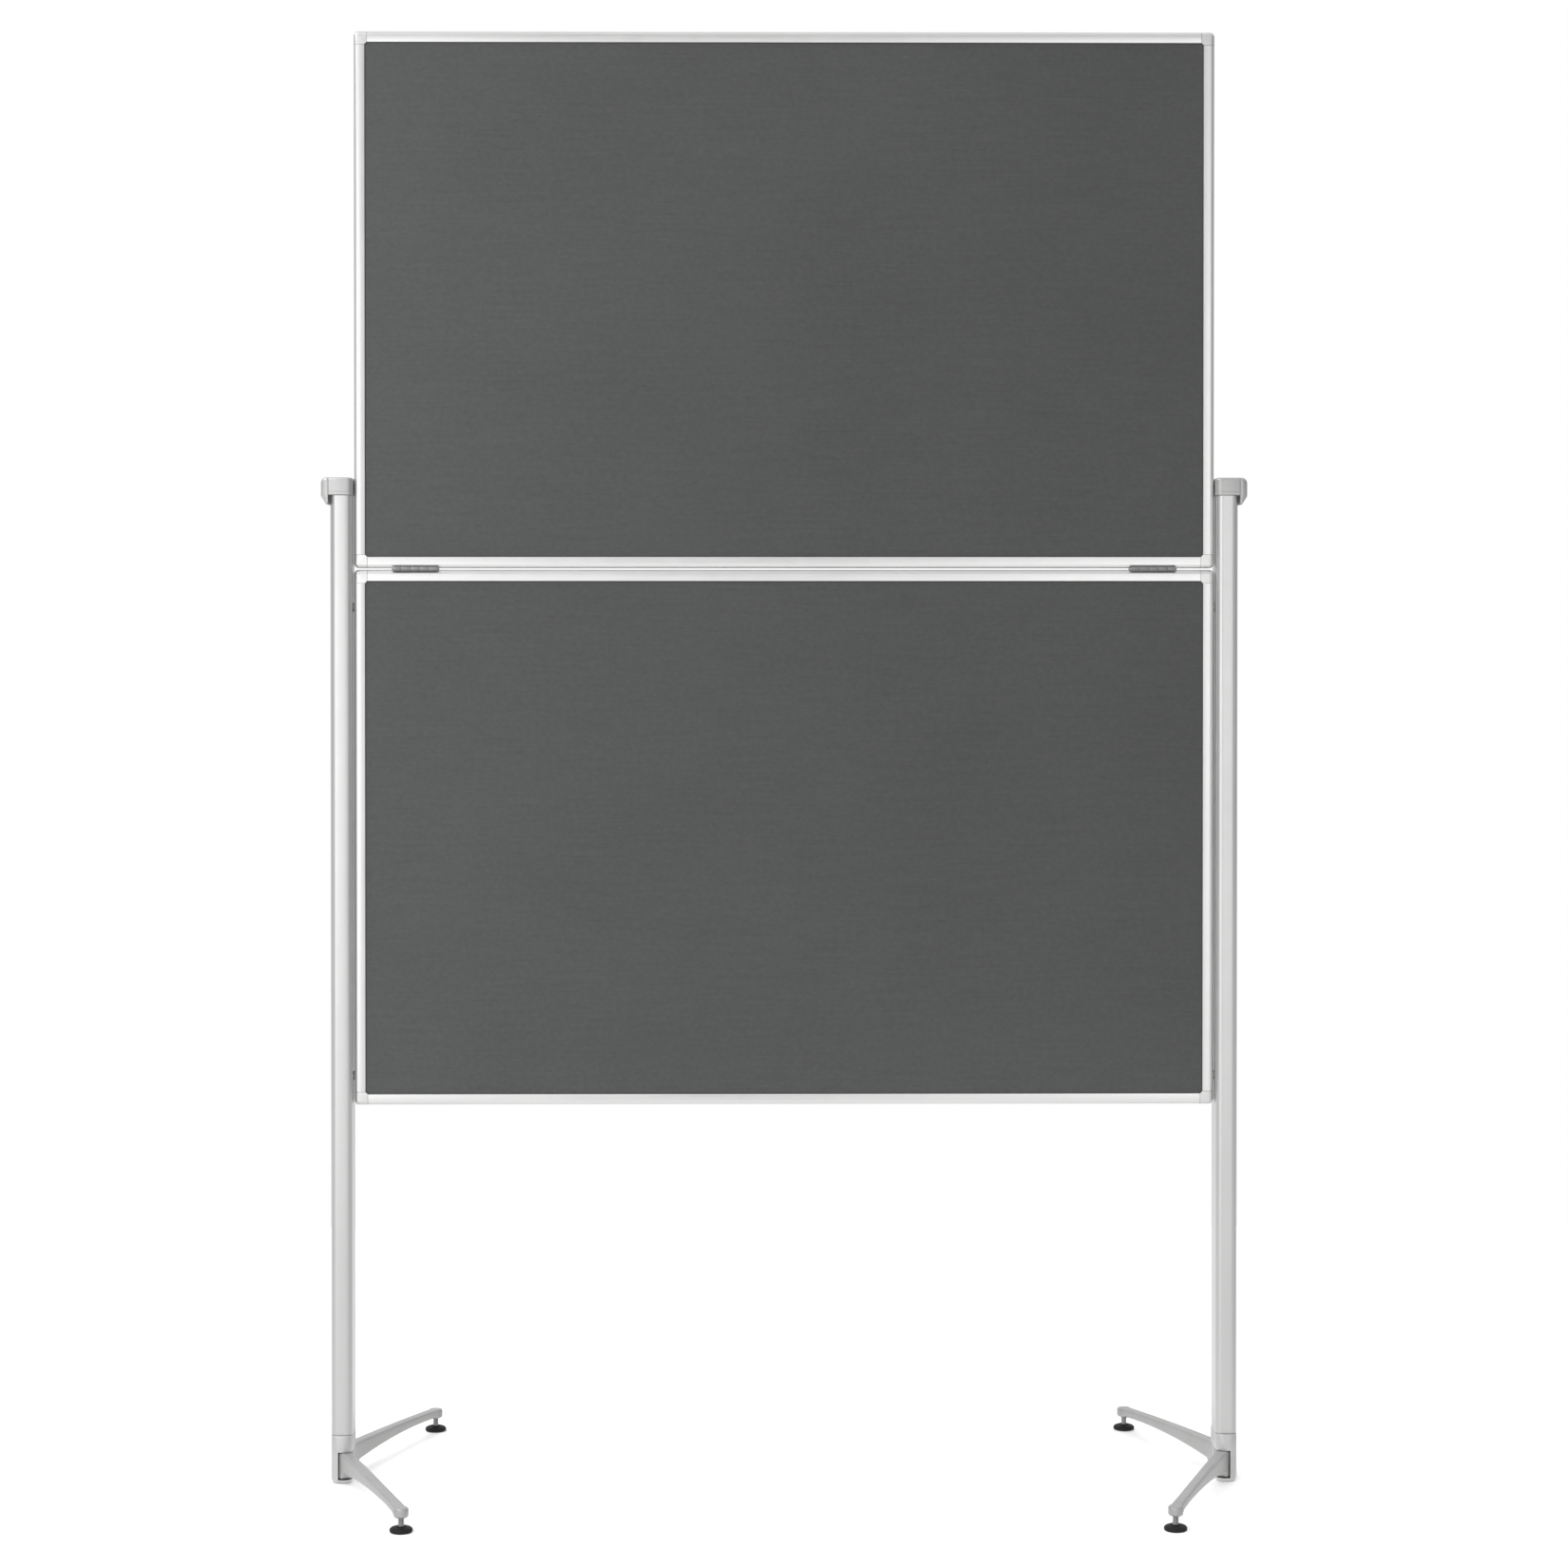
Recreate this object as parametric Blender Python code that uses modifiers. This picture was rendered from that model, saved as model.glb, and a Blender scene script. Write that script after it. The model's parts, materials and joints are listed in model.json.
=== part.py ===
"""Folding two-panel board on a free-standing frame.

Two felt-covered panels in channel frames are hinged together at mid height. The
lower one is bolted between two upright posts, and the upper one folds down in
front of it. Each post stands on a hub with two arms that swing about vertical
pins, and each arm ends in a levelling foot.

Metres, +Z up, +X to the viewer's right, -Y towards the viewer. The origin is on
the floor under the middle of the board.
"""

import math

import bmesh
import bpy
from mathutils import Matrix, Vector

# ---------------------------------------------------------------- dimensions
# Panels
PANEL_W = 1.200
PANEL_H = 0.7470
PANEL_GAP = 0.0027
BOARD_BOTTOM = 0.525
FRAME_D = 0.026  # front to back
FACE = 0.0155  # width of the frame's front face
ROUND = 0.006  # radius of the frame's outer edges
LIP = 0.0025  # thickness of the channel's two lips
WALL = 0.004  # thickness of the channel's outer wall
CORNER = 0.0185  # length of a corner piece's arms
FILLET = 0.005  # inside corner of the opening
CORNER_R = 0.0065  # outside corner of the frame, seen from the front
CORE_T = 0.0204
CORE_IN = 0.008  # how far inside the frame's outer edge the core starts
FELT_T = 0.0012
TONGUE = 0.014  # how far a corner's tongue reaches into a rail
CLEAR = 0.0003  # clearance between pieces that touch

# Hinges of the fold
HINGE_X = 0.5145
HINGE_L = 0.064
HINGE_Y = -0.016
HINGE_Z = BOARD_BOTTOM + PANEL_H + PANEL_GAP / 2
KNUCKLE_R = 0.0026
PIN_R = 0.0011
LEAF_T = 0.0009
KNUCKLES = 5

# Posts
POST_X0, POST_X1 = 0.602, 0.632
POST_D = 0.050
POST_R = 0.009
POST_T = 0.002
POST_BOTTOM, POST_TOP = 0.0663, 1.3757
BOLT_Z = (0.565, 1.220)

# Heads and latches
HEAD_X0, HEAD_X1 = 0.601, 0.634
HEAD_D = 0.054
HEAD_Z0, HEAD_Z1 = 1.376, 1.4005
HEAD_R = 0.008  # inboard corners, seen from above
TOP_R = 0.004  # rounding of the top edges
SPIGOT = 0.035
LATCH_Z = 1.3880
PLUNGER_R = 0.004
KNOB_T = 0.0105
KNOB_R = 0.008  # outer corners
KNOB_Z0 = 1.3625

# Hubs
HUB_D = 0.065
HUB_R = 0.0115
HUB_Z0, HUB_Z1 = 0.0015, 0.066
BAY_Z0, BAY_Z1 = 0.0055, 0.044
BAY_X1 = 0.6215  # the bays' open side ends here, so a lip covers the knuckle
PIVOT_X, PIVOT_Y = 0.6145, 0.017
PIVOT_R = 0.004

# Arms and feet
FOOT_X, FOOT_Y = 0.511, 0.270
ARM_W = 0.016
ARM_R = 0.012
ARM_Z0, ARM_Z1 = 0.0065, 0.0436
BOSS_R = 0.010
BOSS_Z0, BOSS_Z1 = 0.0195, 0.0333
STEM_R = 0.004
STEM_Z0, STEM_Z1 = 0.0045, 0.0270
PAD_R = 0.0154
PAD_H = 0.0085

# ------------------------------------------------------------------ materials
LOOKS = {
    "frame": ((0.80, 0.80, 0.79), 0.34, 1.0),
    "corner": ((0.66, 0.66, 0.65), 0.42, 0.6),
    "post": ((0.72, 0.72, 0.71), 0.36, 1.0),
    "casting": ((0.55, 0.55, 0.54), 0.48, 0.5),
    "steel": ((0.56, 0.56, 0.56), 0.28, 1.0),
    "hinge": ((0.24, 0.24, 0.25), 0.40, 0.8),
    "felt": ((0.088, 0.090, 0.088), 0.95, 0.0),
    "core": ((0.55, 0.45, 0.32), 0.90, 0.0),
    "rubber": ((0.018, 0.018, 0.019), 0.62, 0.0),
    "bush": ((0.82, 0.82, 0.80), 0.50, 0.0),
}


def paint(obj, look):
    colour, rough, metal = LOOKS[look]
    mat = bpy.data.materials.new(obj.name)
    mat.use_nodes = True
    shader = mat.node_tree.nodes["Principled BSDF"]
    shader.inputs["Base Color"].default_value = (*colour, 1.0)
    shader.inputs["Roughness"].default_value = rough
    shader.inputs["Metallic"].default_value = metal
    obj.data.materials.clear()
    obj.data.materials.append(mat)


# -------------------------------------------------------------------- scene
for old in list(bpy.data.objects):
    bpy.data.objects.remove(old, do_unlink=True)

BOARD = bpy.data.collections.new("folding_board")
CUTTERS = bpy.data.collections.new("cutters")
bpy.context.scene.collection.children.link(BOARD)
bpy.context.scene.collection.children.link(CUTTERS)


# ------------------------------------------------------------------ helpers
def frame_of(x_dir, y_dir):
    """Rotation whose local X and Y point along these world directions."""
    x_dir, y_dir = Vector(x_dir), Vector(y_dir)
    z_dir = x_dir.cross(y_dir)
    return Matrix((x_dir, y_dir, z_dir)).transposed().to_4x4()


def add(name, mesh, location=(0, 0, 0), rotation=None):
    obj = bpy.data.objects.new(name, mesh)
    BOARD.objects.link(obj)
    obj.location = location
    if rotation is not None:
        obj.rotation_euler = rotation.to_euler()
    return obj


def smooth(obj, angle=32):
    obj.data.shade_smooth()
    obj.data.set_sharp_from_angle(angle=math.radians(angle))
    return obj


def box(name, low, high):
    """A box between two corners, with its origin at its centre."""
    low, high = Vector(low), Vector(high)
    bm = bmesh.new()
    bmesh.ops.create_cube(bm, size=1.0)
    bmesh.ops.scale(bm, vec=high - low, verts=bm.verts)
    mesh = bpy.data.meshes.new(name)
    bm.to_mesh(mesh)
    bm.free()
    return add(name, mesh, (low + high) / 2)


AXES = {
    "X": frame_of((0, 1, 0), (0, 0, 1)),
    "Y": frame_of((0, 0, 1), (1, 0, 0)),
    "Z": frame_of((1, 0, 0), (0, 1, 0)),
}


def rod(name, radius, start, end, axis="Z", sides=24, chamfer=0.0):
    """A cylinder between two points on a line along an axis."""
    start, end = Vector(start), Vector(end)
    length = (end - start).length
    bm = bmesh.new()
    bmesh.ops.create_cone(
        bm, cap_ends=True, segments=sides, radius1=radius, radius2=radius, depth=length
    )
    if chamfer:
        rims = [e for e in bm.edges if abs(e.verts[0].co.z - e.verts[1].co.z) < 1e-6]
        bmesh.ops.bevel(
            bm, geom=rims, offset=chamfer, segments=1, profile=0.5, affect="EDGES"
        )
    mesh = bpy.data.meshes.new(name)
    bm.to_mesh(mesh)
    bm.free()
    return smooth(add(name, mesh, (start + end) / 2, AXES[axis]))


def rounded(points, radii, steps=5):
    """The polygon through these points with each corner turned to an arc."""
    out = []
    count = len(points)
    for i, (point, radius) in enumerate(zip(points, radii)):
        here = Vector(point)
        if not radius:
            out.append(tuple(here))
            continue
        before = (Vector(points[i - 1]) - here).normalized()
        after = (Vector(points[(i + 1) % count]) - here).normalized()
        half = before.angle(after) / 2
        reach = radius / math.tan(half)
        centre = here + (before + after).normalized() * (radius / math.sin(half))
        first = here + before * reach - centre
        last = here + after * reach - centre
        turn = first.angle_signed(last)
        count_here = steps if radius > 0.0012 else 1
        for k in range(count_here + 1):
            # angle_signed is clockwise, Rotation is anticlockwise
            spin = Matrix.Rotation(-turn * k / count_here, 2)
            out.append(tuple(centre + spin @ first))
    return out


def rounded_box(half_x, half_y, radius, steps=5):
    corners = [
        (-half_x, -half_y),
        (half_x, -half_y),
        (half_x, half_y),
        (-half_x, half_y),
    ]
    return rounded(corners, [radius] * 4, steps)


def sheet(
    name, outlines, thickness, location=(0, 0, 0), rotation=None, bevel=0.0, fine=1
):
    """Flat outlines in local XY, thickened along local Z, as a mesh."""
    curve = bpy.data.curves.new(name, "CURVE")
    curve.dimensions = "2D"
    curve.fill_mode = "BOTH"
    curve.extrude = thickness / 2 - bevel
    curve.bevel_depth = bevel
    curve.bevel_resolution = fine
    curve.offset = -bevel
    for outline in outlines:
        spline = curve.splines.new("POLY")
        spline.points.add(len(outline) - 1)
        for point, (x, y) in zip(spline.points, outline):
            point.co = (x, y, 0, 1)
        spline.use_cyclic_u = True
    guide = bpy.data.objects.new(name + "_outline", curve)
    BOARD.objects.link(guide)
    bpy.context.view_layer.update()
    evaluated = guide.evaluated_get(bpy.context.evaluated_depsgraph_get())
    mesh = bpy.data.meshes.new_from_object(evaluated)
    bpy.data.objects.remove(guide)
    bpy.data.curves.remove(curve)
    mesh.name = name
    bm = bmesh.new()
    bm.from_mesh(mesh)
    bmesh.ops.remove_doubles(bm, verts=bm.verts, dist=1e-6)
    bmesh.ops.recalc_face_normals(bm, faces=bm.faces)
    bm.to_mesh(mesh)
    bm.free()
    return add(name, mesh, location, rotation)


def loft(name, loops):
    """A closed mesh through loops of equal length, capped at both ends."""
    bm = bmesh.new()
    rings = [[bm.verts.new(point) for point in loop] for loop in loops]
    count = len(rings[0])
    for low, high in zip(rings, rings[1:]):
        for i in range(count):
            j = (i + 1) % count
            bm.faces.new((low[i], low[j], high[j], high[i]))
    bm.faces.new(rings[0][::-1])
    bm.faces.new(rings[-1])
    bmesh.ops.recalc_face_normals(bm, faces=bm.faces)
    mesh = bpy.data.meshes.new(name)
    bm.to_mesh(mesh)
    bm.free()
    return add(name, mesh)


def arc_in(radius, steps):
    """Pairs of (distance along, inset) round a quarter circle, from side to end."""
    out = []
    for k in range(steps + 1):
        a = math.pi / 2 * k / steps
        out.append((radius * math.sin(a), radius * (1 - math.cos(a))))
    return out


def tool(obj):
    """Makes an object a helper that only shapes others."""
    BOARD.objects.unlink(obj)
    CUTTERS.objects.link(obj)
    obj.hide_render = True
    obj.display_type = "WIRE"
    return obj


def boolean(obj, helper, operation):
    if helper.name not in CUTTERS.objects:
        tool(helper)
    modifier = obj.modifiers.new(helper.name, "BOOLEAN")
    modifier.operation = operation
    modifier.solver = "EXACT"
    modifier.object = helper
    return obj


def cut(obj, *helpers):
    for helper in helpers:
        boolean(obj, helper, "DIFFERENCE")
    return obj


def join(obj, *helpers):
    for helper in helpers:
        boolean(obj, helper, "UNION")
    return obj


# -------------------------------------------------------------------- panels
def rail_profile():
    """The channel: outer edge at x = 0, opening towards +x, y front to back."""
    half = FRAME_D / 2
    points = [
        (0, -half),
        (FACE, -half),
        (FACE, -half + LIP),
        (WALL, -half + LIP),
        (WALL, half - LIP),
        (FACE, half - LIP),
        (FACE, half),
        (0, half),
    ]
    return rounded(points, [ROUND, 0.0005, 0.0005, 0, 0, 0.0005, 0.0005, ROUND], 4)


def corner_mesh():
    """A corner piece with its outer corner at the origin and arms along +x, +y."""
    outline = []
    for k in range(5):
        a = math.pi + math.pi / 2 * k / 4
        outline.append(
            (CORNER_R + CORNER_R * math.cos(a), CORNER_R + CORNER_R * math.sin(a))
        )
    outline.append((CORNER, 0))
    # The inside fillet is cut off where the arms end
    centre = FACE + FILLET
    start = math.asin((centre - CORNER) / FILLET)
    for k in range(5):
        a = -math.pi / 2 - start - (math.pi / 2 - 2 * start) * k / 4
        outline.append((centre + FILLET * math.cos(a), centre + FILLET * math.sin(a)))
    outline.append((0, CORNER))
    solid = sheet("corner_block", [outline], FRAME_D)
    mesh = solid.data
    bm = bmesh.new()
    bm.from_mesh(mesh)
    edge_z = FRAME_D / 2

    def outer(v):
        on_side = min(v.co.x, v.co.y) < 1e-5
        in_corner = v.co.x < CORNER_R and v.co.y < CORNER_R
        return abs(abs(v.co.z) - edge_z) < 1e-5 and (on_side or in_corner)

    rims = [
        e
        for e in bm.edges
        if outer(e.verts[0])
        and outer(e.verts[1])
        and abs(e.verts[0].co.z - e.verts[1].co.z) < 1e-5
        and len(e.link_faces) == 2
        and abs(e.link_faces[0].normal.z - e.link_faces[1].normal.z) > 0.5
    ]
    bmesh.ops.bevel(
        bm,
        geom=rims,
        offset=ROUND,
        segments=4,
        profile=0.5,
        affect="EDGES",
        clamp_overlap=False,
    )
    bm.to_mesh(mesh)
    bm.free()
    bpy.data.objects.remove(solid)
    return mesh


CORNER_MESH = corner_mesh()


def panel(prefix, bottom):
    """One panel. Returns its two side rails, which may be drilled."""
    half_w = PANEL_W / 2
    top = bottom + PANEL_H
    middle = (bottom + top) / 2
    end = CORNER + CLEAR
    profile = rail_profile()

    core = box(
        f"{prefix}_core_board",
        (-half_w + CORE_IN, -CORE_T / 2, bottom + CORE_IN),
        (half_w - CORE_IN, CORE_T / 2, top - CORE_IN),
    )
    paint(core, "core")

    open_w = half_w - FACE - CLEAR
    open_h = PANEL_H / 2 - FACE - CLEAR
    outline = rounded_box(open_w, open_h, FILLET, 4)
    flat = frame_of((1, 0, 0), (0, 0, 1))
    for side, sign in (("front", -1), ("back", 1)):
        felt = sheet(
            f"{prefix}_felt_{side}",
            [outline],
            FELT_T,
            (0, sign * (CORE_T / 2 + CLEAR + FELT_T / 2), middle),
            flat,
        )
        paint(felt, "felt")

    length_x = PANEL_W - 2 * end
    length_z = PANEL_H - 2 * end
    rails = {}
    for side, inward, centre, length in (
        ("top", (0, 0, -1), (0, 0, top), length_x),
        ("bottom", (0, 0, 1), (0, 0, bottom), length_x),
        ("left", (1, 0, 0), (-half_w, 0, middle), length_z),
        ("right", (-1, 0, 0), (half_w, 0, middle), length_z),
    ):
        rail = sheet(
            f"{prefix}_rail_{side}",
            [profile],
            length,
            centre,
            frame_of(inward, (0, 1, 0)),
        )
        paint(smooth(rail), "frame")
        rails[side] = rail

    for side, x, z, x_dir, y_dir in (
        ("bottom_left", -1, 0, (1, 0, 0), (0, 0, 1)),
        ("bottom_right", 1, 0, (0, 0, 1), (-1, 0, 0)),
        ("top_right", 1, 1, (-1, 0, 0), (0, 0, -1)),
        ("top_left", -1, 1, (0, 0, -1), (1, 0, 0)),
    ):
        name = f"{prefix}_corner_{side}"
        turn = frame_of(x_dir, y_dir)
        corner = Vector((x * half_w, 0, top if z else bottom))
        piece = smooth(add(name, CORNER_MESH.copy(), corner, turn))
        inner_x = Vector(x_dir)
        inner_y = Vector(y_dir)

        def block(label, a, b, half):
            """A box given in the corner's own two directions."""
            p = corner + inner_x * a[0] + inner_y * a[1] - Vector((0, half, 0))
            q = corner + inner_x * b[0] + inner_y * b[1] + Vector((0, half, 0))
            low = [min(u, v) for u, v in zip(p, q)]
            high = [max(u, v) for u, v in zip(p, q)]
            return box(f"{name}_{label}", low, high)

        inside = CORE_IN - CLEAR
        pocket = block(
            "pocket", (inside, inside), (0.030, 0.030), FRAME_D / 2 - LIP
        )
        tongue_y = FRAME_D / 2 - LIP - CLEAR
        reach = CORNER + TONGUE
        tongues = [
            block("tongue_a", (0.010, WALL + CLEAR), (reach, inside), tongue_y),
            block("tongue_b", (WALL + CLEAR, 0.010), (inside, reach), tongue_y),
        ]
        cut(piece, pocket)
        join(piece, *tongues)
        paint(piece, "corner")
    return rails


lower_rails = panel("lower", BOARD_BOTTOM)
panel("upper", BOARD_BOTTOM + PANEL_H + PANEL_GAP)

# -------------------------------------------------------------------- hinges
gap_low = BOARD_BOTTOM + PANEL_H + CLEAR
gap_high = BOARD_BOTTOM + PANEL_H + PANEL_GAP - CLEAR
SEGMENT_GAP = 0.0005
SEGMENT = (HINGE_L - (KNUCKLES - 1) * SEGMENT_GAP) / KNUCKLES
for side, sign in (("left", -1), ("right", 1)):
    centre_x = sign * HINGE_X
    start_x = centre_x - HINGE_L / 2
    for level, z0, z1, own in (
        ("lower", gap_low, gap_low + LEAF_T, (0, 2, 4)),
        ("upper", gap_high - LEAF_T, gap_high, (1, 3)),
    ):
        name = f"hinge_{level}_leaf_{side}"
        leaf = box(
            name,
            (start_x, HINGE_Y + 0.0050, z0),
            (start_x + HINGE_L, 0.008, z1),
        )
        for i in own:
            x0 = start_x + i * (SEGMENT + SEGMENT_GAP)
            x1 = x0 + SEGMENT
            join(
                leaf,
                box(f"{name}_tab_{i}", (x0, HINGE_Y, z0), (x1, HINGE_Y + 0.007, z1)),
                rod(
                    f"{name}_knuckle_{i}",
                    KNUCKLE_R,
                    (x0, HINGE_Y, HINGE_Z),
                    (x1, HINGE_Y, HINGE_Z),
                    "X",
                    16,
                ),
            )
        cut(
            leaf,
            rod(
                f"{name}_bore",
                PIN_R + CLEAR,
                (start_x - 0.01, HINGE_Y, HINGE_Z),
                (start_x + HINGE_L + 0.01, HINGE_Y, HINGE_Z),
                "X",
                12,
            ),
        )
        paint(smooth(leaf), "hinge")
    pin = rod(
        f"hinge_pin_{side}",
        PIN_R,
        (start_x - 0.0006, HINGE_Y, HINGE_Z),
        (start_x + HINGE_L + 0.0006, HINGE_Y, HINGE_Z),
        "X",
        12,
        0.0004,
    )
    paint(pin, "steel")

# --------------------------------------------------------------------- posts
post_x = (POST_X0 + POST_X1) / 2
post_half = (POST_X1 - POST_X0) / 2
flat = frame_of((1, 0, 0), (0, 1, 0))
for side, sign in (("left", -1), ("right", 1)):
    post = sheet(
        f"post_{side}",
        [
            rounded_box(post_half, POST_D / 2, POST_R, 5),
            rounded_box(post_half - POST_T, POST_D / 2 - POST_T, POST_R - POST_T, 4)[
                ::-1
            ],
        ],
        POST_TOP - POST_BOTTOM,
        (sign * post_x, 0, (POST_TOP + POST_BOTTOM) / 2),
        flat,
    )
    smooth(post)
    paint(post, "post")
    rail = lower_rails[side]
    for label, z in zip(("bottom", "top"), BOLT_Z):
        drill = rod(
            f"drill_{label}_{side}",
            0.0034,
            (sign * 0.5945, 0, z),
            (sign * 0.6060, 0, z),
            "X",
            16,
        )
        cut(post, drill)
        cut(rail, drill)

        name = f"panel_bolt_{label}_{side}"
        head_x = POST_X0 + POST_T + CLEAR
        bolt = rod(
            name, 0.003, (sign * 0.5927, 0, z), (sign * (head_x + 0.002), 0, z), "X", 16
        )
        join(
            bolt,
            rod(
                f"{name}_head",
                0.0055,
                (sign * head_x, 0, z),
                (sign * (head_x + 0.0045), 0, z),
                "X",
                16,
                0.0006,
            ),
        )
        paint(bolt, "steel")

        name = f"spacer_bush_{label}_{side}"
        bush = rod(
            name,
            0.006,
            (sign * (PANEL_W / 2 + CLEAR), 0, z),
            (sign * (POST_X0 - CLEAR), 0, z),
            "X",
            20,
        )
        cut(
            bush,
            rod(
                f"{name}_bore",
                0.0034,
                (sign * 0.590, 0, z),
                (sign * 0.610, 0, z),
                "X",
                16,
            ),
        )
        paint(bush, "bush")

# ---------------------------------------------------------- heads and latches
for side, sign in (("left", -1), ("right", 1)):
    name = f"head_{side}"
    # Square where the knob meets it, rounded on the other three sides
    levels = [(HEAD_Z0, 0.0008), (HEAD_Z0 + 0.0008, 0)]
    levels += [(HEAD_Z1 - TOP_R + d, inset) for d, inset in arc_in(TOP_R, 4)]
    loops = []
    for z, inset in levels:
        low_x, half_y = HEAD_X0 + inset, HEAD_D / 2 - inset
        corners = [
            (low_x, -half_y),
            (HEAD_X1, -half_y),
            (HEAD_X1, half_y),
            (low_x, half_y),
        ]
        radii = [HEAD_R - inset, 0.0005, 0.0005, HEAD_R - inset]
        loops.append([(sign * x, y, z) for x, y in rounded(corners, radii, 4)])
    head = loft(name, loops)
    spigot = sheet(
        f"{name}_spigot",
        [
            rounded_box(
                post_half - POST_T - 0.0004,
                POST_D / 2 - POST_T - 0.0004,
                POST_R - POST_T - 0.0004,
                4,
            )
        ],
        SPIGOT + 0.004,
        (sign * post_x, 0, HEAD_Z0 - SPIGOT / 2 + 0.002),
        flat,
    )
    join(head, spigot)
    cut(
        head,
        rod(
            f"{name}_bore",
            PLUNGER_R + 0.0004,
            (sign * 0.590, 0, LATCH_Z),
            (sign * 0.650, 0, LATCH_Z),
            "X",
            24,
        ),
    )
    paint(smooth(head), "casting")

    # The knob is drawn outwards. Its plunger slides in the head.
    name = f"latch_knob_{side}"
    knob_x = HEAD_X1 + 0.0004
    ends = []
    for k in range(7):
        y = HEAD_D / 2 - KNOB_R * (1 - math.sin(math.pi / 2 * k / 6))
        side_in = KNOB_R - math.sqrt(KNOB_R**2 - (y - HEAD_D / 2 + KNOB_R) ** 2)
        over = max(0, y - HEAD_D / 2 + TOP_R)
        top_in = TOP_R - math.sqrt(TOP_R**2 - over**2)
        ends.append((y, side_in, top_in))
    ends = ends[::-1]
    loops = []
    for y, side_in, top_in in [(-e[0], e[1], e[2]) for e in ends] + ends[::-1]:
        outer = KNOB_T - side_in
        top, bottom = HEAD_Z1 - top_in, KNOB_Z0 + top_in
        corner_r = max(0.0020, min(KNOB_R, outer - 0.0006))
        points = [
            (0, top),
            (outer, top),
            (outer, bottom + 0.0115),
            (min(0.0025, outer * 0.8), bottom),
            (0, bottom),
        ]
        radii = [0.0004, corner_r, min(0.005, corner_r), 0.0014, 0.0003]
        outline = rounded(points, radii, 5)
        loops.append([(sign * (knob_x + x), y, z) for x, z in outline])
    knob = loft(name, loops)
    join(
        knob,
        rod(
            f"{name}_plunger",
            PLUNGER_R,
            (sign * 0.6008, 0, LATCH_Z),
            (sign * (knob_x + 0.004), 0, LATCH_Z),
            "X",
            24,
            0.001,
        ),
    )
    paint(smooth(knob), "casting")

# ---------------------------------------------------------------------- hubs
for side, sign in (("left", -1), ("right", 1)):
    name = f"hub_{side}"
    front = [
        (-post_half, HUB_Z0),
        (post_half, HUB_Z0),
        (post_half, HUB_Z1),
        (-post_half, HUB_Z1),
    ]
    hub = sheet(
        name,
        [rounded([(x, z) for x, z in front], [0.005, 0.005, 0.001, 0.001], 3)],
        HUB_D,
        (sign * post_x, 0, 0),
        frame_of((1, 0, 0), (0, 0, 1)),
    )
    boolean(
        hub,
        sheet(
            f"{name}_plan",
            [rounded_box(post_half + 0.0001, HUB_D / 2 - 0.0005, HUB_R, 5)],
            0.200,
            (sign * post_x, 0, 0.060),
            flat,
        ),
        "INTERSECT",
    )
    bays = []
    for end, way in (("front", -1), ("rear", 1)):
        xs = sorted((sign * (POST_X0 - 0.01), sign * BAY_X1))
        ys = sorted((way * 0.0033, way * 0.045))
        bays.append(
            box(f"{name}_bay_{end}", (xs[0], ys[0], BAY_Z0), (xs[1], ys[1], BAY_Z1))
        )
        bays.append(
            rod(
                f"{name}_socket_{end}",
                ARM_R + 0.0007,
                (sign * PIVOT_X, way * PIVOT_Y, BAY_Z0),
                (sign * PIVOT_X, way * PIVOT_Y, BAY_Z1),
                "Z",
                32,
            )
        )
    cut(hub, *bays)
    spigot = sheet(
        f"{name}_spigot",
        [
            rounded_box(
                post_half - POST_T - 0.0004,
                POST_D / 2 - POST_T - 0.0004,
                POST_R - POST_T - 0.0004,
                4,
            )
        ],
        0.044,
        (sign * post_x, 0, HUB_Z1 + 0.018),
        flat,
    )
    join(hub, spigot)
    for end, way in (("front", -1), ("rear", 1)):
        pivot = Vector((sign * PIVOT_X, way * PIVOT_Y, 0))
        cut(
            hub,
            rod(
                f"{name}_bore_{end}",
                PIVOT_R + CLEAR,
                pivot + Vector((0, 0, -0.002)),
                pivot + Vector((0, 0, 0.0595)),
                "Z",
                16,
            ),
        )
        pin = rod(
            f"{end}_{side}_pivot_pin",
            PIVOT_R,
            pivot + Vector((0, 0, 0.0020)),
            pivot + Vector((0, 0, 0.0590)),
            "Z",
            16,
            0.0006,
        )
        paint(pin, "steel")
    paint(smooth(hub), "casting")


# ---------------------------------------------------------------------- arms
def through(points, x):
    """The parabola through three points, read at x."""
    total = 0
    for i, (xi, zi) in enumerate(points):
        term = zi
        for j, (xj, _) in enumerate(points):
            if j != i:
                term *= (x - xj) / (xi - xj)
        total += term
    return total


reach = Vector((FOOT_X - PIVOT_X, -(FOOT_Y - PIVOT_Y)))
ARM_L = reach.length
TOP_LINE = ((0.006, 0.0432), (0.140, 0.0399), (ARM_L, 0.0325))
LOW_LINE = ((0.006, 0.0150), (0.140, 0.0244), (ARM_L, 0.0212))


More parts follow.
